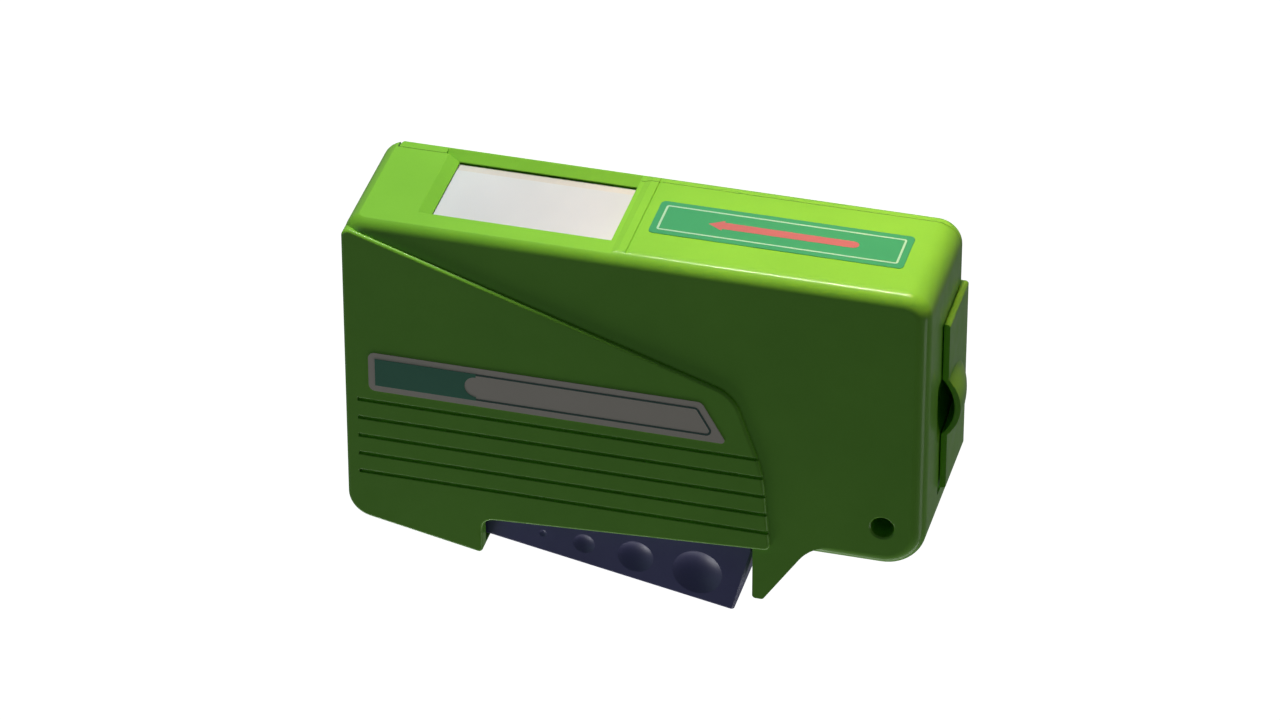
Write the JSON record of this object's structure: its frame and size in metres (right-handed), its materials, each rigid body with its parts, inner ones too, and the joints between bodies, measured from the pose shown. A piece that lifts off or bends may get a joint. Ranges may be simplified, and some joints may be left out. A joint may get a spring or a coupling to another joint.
{
  "type": "fibre optic cleaning cassette",
  "caption": "Hand-held cleaning cassette: moulded case with a sloped raised panel, a window over cleaning tape, a squeeze lever that winds the tape on, and a hinged rear cover.",
  "frame": {"origin": "middle of the main block's outline, on the back face that it lies on", "axes": "+X along the length to the latch end, +Y out of the window side, +Z out of the labelled front"},
  "size_m": [0.1194, 0.0816, 0.0308],
  "materials": {
    "case_green": "satin moulded",
    "lever_navy": "fine grained",
    "reel_plastic": "smooth moulded",
    "drive_plastic": "smooth moulded",
    "tape_cloth": "fine woven",
    "felt": "felted",
    "pad_foam": "soft closed-cell",
    "steel": "drawn",
    "label_silver": "printed film",
    "label_green": "printed film"
  },
  "bodies": {
    "case": {"front_case": "case_green", "hinge_pins": "steel", "lever_pin": "steel", "lever_spring": "steel", "stop_pawl": "drive_plastic", "take_up_axle": "steel", "supply_axle": "steel", "brake_felt": "felt", "brake_spring": "steel", "roller_pins": "steel", "platen": "reel_plastic", "platen_pad": "pad_foam", "tape_strip": "tape_cloth", "front_label": "label_silver", "arrow_label": "label_green"},
    "cover": {"rear_cover": "case_green"},
    "lever": {"lever": "lever_navy"},
    "gear": {"drive_gear": "drive_plastic", "drive_pawl": "drive_plastic"},
    "take_up": {"take_up_reel": "reel_plastic", "take_up_tape": "tape_cloth"},
    "supply": {"supply_reel": "reel_plastic", "supply_tape": "tape_cloth"},
    "roller_left": {"guide_roller_left": "reel_plastic"},
    "roller_right": {"guide_roller_right": "reel_plastic"}
  },
  "joints": [
    {"name": "cover_hinge", "type": "hinge", "parent": "case", "child": "cover", "pos_m": [-0.0561, 0, 0.0017], "axis": [0, 1, 0], "range_deg": [0, 95]},
    {"name": "lever_press", "type": "hinge", "parent": "case", "child": "lever", "pos_m": [-0.0353, -0.03575, 0.015], "axis": [0, 0, 1], "range_deg": [0, 10.35], "stiffness_Nm_per_rad": 0.6, "springref_deg": -14.32, "deforming": ["lever_spring"]},
    {"name": "gear_spin", "type": "hinge", "parent": "case", "child": "gear", "pos_m": [0.0242, -0.00283, 0.015], "axis": [0, 0, 1], "range_deg": [-60.5, 0.5], "deforming": ["drive_pawl"]},
    {"name": "take_up_spin", "type": "hinge", "parent": "case", "child": "take_up", "pos_m": [0.0242, -0.00283, 0.015], "axis": [0, 0, 1], "continuous": true, "deforming": ["stop_pawl"]},
    {"name": "supply_spin", "type": "hinge", "parent": "case", "child": "supply", "pos_m": [-0.0278, -0.00283, 0.015], "axis": [0, 0, 1], "continuous": true},
    {"name": "roller_left_spin", "type": "hinge", "parent": "case", "child": "roller_left", "pos_m": [-0.0505, 0.02585, 0.015], "axis": [0, 0, 1], "continuous": true},
    {"name": "roller_right_spin", "type": "hinge", "parent": "case", "child": "roller_right", "pos_m": [0.0001, 0.02585, 0.015], "axis": [0, 0, 1], "continuous": true}
  ],
  "couplings": [
    {"joint": "gear_spin", "follows": "lever_press", "ratio": -5.8},
    {"joint": "supply_spin", "follows": "take_up_spin", "ratio": 0.6419},
    {"joint": "roller_left_spin", "follows": "take_up_spin", "ratio": 3.9492},
    {"joint": "roller_right_spin", "follows": "take_up_spin", "ratio": 3.9492}
  ]
}
